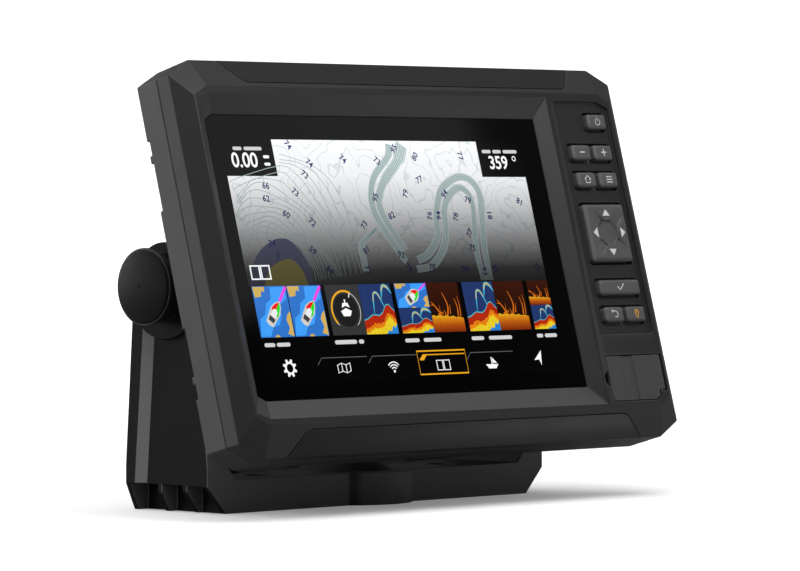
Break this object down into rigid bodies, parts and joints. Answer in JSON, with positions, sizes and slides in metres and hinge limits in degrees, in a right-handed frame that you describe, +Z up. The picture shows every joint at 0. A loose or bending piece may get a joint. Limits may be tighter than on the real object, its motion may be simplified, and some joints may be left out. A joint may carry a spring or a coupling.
{
  "type": "chartplotter display",
  "caption": "Marine chartplotter display on a tilting bail bracket, with side knobs, side keys, a rocker pad and a card door.",
  "frame": {"origin": "centre of the four screw holes in the bail's underside, on the surface it is screwed to", "axes": "+Z up out of that surface, +X to the right as seen from the front, +Y away from the viewer; the screen faces -Y and leans back 15.5 degrees at rest"},
  "size_m": [0.2306, 0.0908, 0.1615],
  "materials": {
    "bail_plastic": "fine-textured charcoal moulding",
    "bezel_plastic": "fine-textured charcoal moulding",
    "housing_plastic": "fine-textured charcoal moulding",
    "cover_glass": "black-printed bonded cover glass, polished",
    "lcd": "colour display cell",
    "sheet_aluminium": "bare sheet, satin",
    "circuit_board": "green solder mask",
    "ceramic": "fired ceramic, satin",
    "flex_film": "amber film",
    "black_rubber": "matt rubber",
    "steel": "stainless, satin",
    "brass": "turned",
    "connector_plastic": "glass-filled black moulding",
    "key_plastic": "satin grey-black keys with printed legends",
    "nylon": "natural nylon",
    "knob_plastic": "satin charcoal moulding"
  },
  "bodies": {
    "bail": {"bail_bracket": "bail_plastic"},
    "unit": {"front_bezel": "bezel_plastic", "top_trim": "bezel_plastic", "bottom_trim": "bezel_plastic", "rear_housing": "housing_plastic", "display_glass": "cover_glass", "housing_screws": "steel", "vent_plug": "connector_plastic", "power_socket": "connector_plastic", "transducer_socket": "connector_plastic", "network_socket": "connector_plastic", "friction_washers": "black_rubber", "lcd_panel": "lcd", "backlight_unit": "sheet_aluminium", "chassis_plate": "sheet_aluminium", "chassis_screws": "steel", "main_board": "circuit_board", "processor_shield": "sheet_aluminium", "beeper": "connector_plastic", "satellite_antenna": "ceramic", "wireless_antenna": "circuit_board", "display_flex": "flex_film", "keypad_flex": "flex_film", "keypad_board": "circuit_board", "keypad_mat": "black_rubber", "dpad_post": "steel", "card_reader": "steel", "door_hinge_pin": "steel", "housing_gasket": "black_rubber", "glass_gasket": "black_rubber", "pivot_inserts": "brass", "socket_pins": "brass"},
    "power_key": {"power_key": "key_plastic"},
    "zoom_out_key": {"zoom_out_key": "key_plastic"},
    "zoom_in_key": {"zoom_in_key": "key_plastic"},
    "home_key": {"home_key": "key_plastic"},
    "menu_key": {"menu_key": "key_plastic"},
    "select_key": {"select_key": "key_plastic"},
    "back_key": {"back_key": "key_plastic"},
    "mark_key": {"mark_key": "key_plastic"},
    "dpad_gimbal": {"dpad_gimbal": "steel"},
    "dpad": {"dpad_key": "key_plastic"},
    "card_door": {"card_door": "bezel_plastic", "card_door_seal": "black_rubber"},
    "knob_washer_left": {"knob_washer_left": "nylon"},
    "knob_left": {"knob_body_left": "knob_plastic", "knob_cap_left": "knob_plastic", "knob_stud_left": "steel"},
    "knob_washer_right": {"knob_washer_right": "nylon"},
    "knob_right": {"knob_body_right": "knob_plastic", "knob_cap_right": "knob_plastic", "knob_stud_right": "steel"}
  },
  "joints": [
    {"name": "tilt", "type": "hinge", "parent": "bail", "child": "unit", "pos_m": [0, -0.0015, 0.081], "axis": [-1, 0, 0], "range_deg": [-15, 45]},
    {"name": "power_key_press", "type": "slide", "parent": "unit", "child": "power_key", "axis": [0, 0.9636, -0.2672], "range_m": [0, 0.0008], "stiffness_N_per_m": 1500},
    {"name": "zoom_out_key_press", "type": "slide", "parent": "unit", "child": "zoom_out_key", "axis": [0, 0.9636, -0.2672], "range_m": [0, 0.0008], "stiffness_N_per_m": 1500},
    {"name": "zoom_in_key_press", "type": "slide", "parent": "unit", "child": "zoom_in_key", "axis": [0, 0.9636, -0.2672], "range_m": [0, 0.0008], "stiffness_N_per_m": 1500},
    {"name": "home_key_press", "type": "slide", "parent": "unit", "child": "home_key", "axis": [0, 0.9636, -0.2672], "range_m": [0, 0.0008], "stiffness_N_per_m": 1500},
    {"name": "menu_key_press", "type": "slide", "parent": "unit", "child": "menu_key", "axis": [0, 0.9636, -0.2672], "range_m": [0, 0.0008], "stiffness_N_per_m": 1500},
    {"name": "select_key_press", "type": "slide", "parent": "unit", "child": "select_key", "axis": [0, 0.9636, -0.2672], "range_m": [0, 0.0008], "stiffness_N_per_m": 1500},
    {"name": "back_key_press", "type": "slide", "parent": "unit", "child": "back_key", "axis": [0, 0.9636, -0.2672], "range_m": [0, 0.0008], "stiffness_N_per_m": 1500},
    {"name": "mark_key_press", "type": "slide", "parent": "unit", "child": "mark_key", "axis": [0, 0.9636, -0.2672], "range_m": [0, 0.0008], "stiffness_N_per_m": 1500},
    {"name": "dpad_rock_up_down", "type": "hinge", "parent": "unit", "child": "dpad_gimbal", "pos_m": [0.0926, -0.0485, 0.09798], "axis": [1, 0, 0], "range_deg": [-2, 2], "stiffness_Nm_per_rad": 0.4},
    {"name": "dpad_rock_left_right", "type": "hinge", "parent": "dpad_gimbal", "child": "dpad", "pos_m": [0.0926, -0.0485, 0.09798], "axis": [0, 0.2672, 0.9636], "range_deg": [-2, 2], "stiffness_Nm_per_rad": 0.4},
    {"name": "card_door_swing", "type": "hinge", "parent": "unit", "child": "card_door", "pos_m": [0.1064, -0.0668, 0.0465], "axis": [0, 0.2672, 0.9636], "range_deg": [0, 95]},
    {"name": "knob_left_travel", "type": "slide", "parent": "unit", "child": "knob_washer_left", "axis": [-1, 0, 0], "range_m": [0, 0.002]},
    {"name": "knob_left_turn", "type": "hinge", "parent": "knob_washer_left", "child": "knob_left", "pos_m": [-0.088, -0.0015, 0.081], "axis": [-1, 0, 0], "range_deg": [0, 720.1]},
    {"name": "knob_right_travel", "type": "slide", "parent": "unit", "child": "knob_washer_right", "axis": [1, 0, 0], "range_m": [0, 0.002]},
    {"name": "knob_right_turn", "type": "hinge", "parent": "knob_washer_right", "child": "knob_right", "pos_m": [0.088, -0.0015, 0.081], "axis": [1, 0, 0], "range_deg": [0, 720.1]}
  ],
  "couplings": [
    {"joint": "knob_left_turn", "follows": "knob_left_travel", "rad_per_m": 6283.2},
    {"joint": "knob_right_turn", "follows": "knob_right_travel", "rad_per_m": 6283.2}
  ]
}
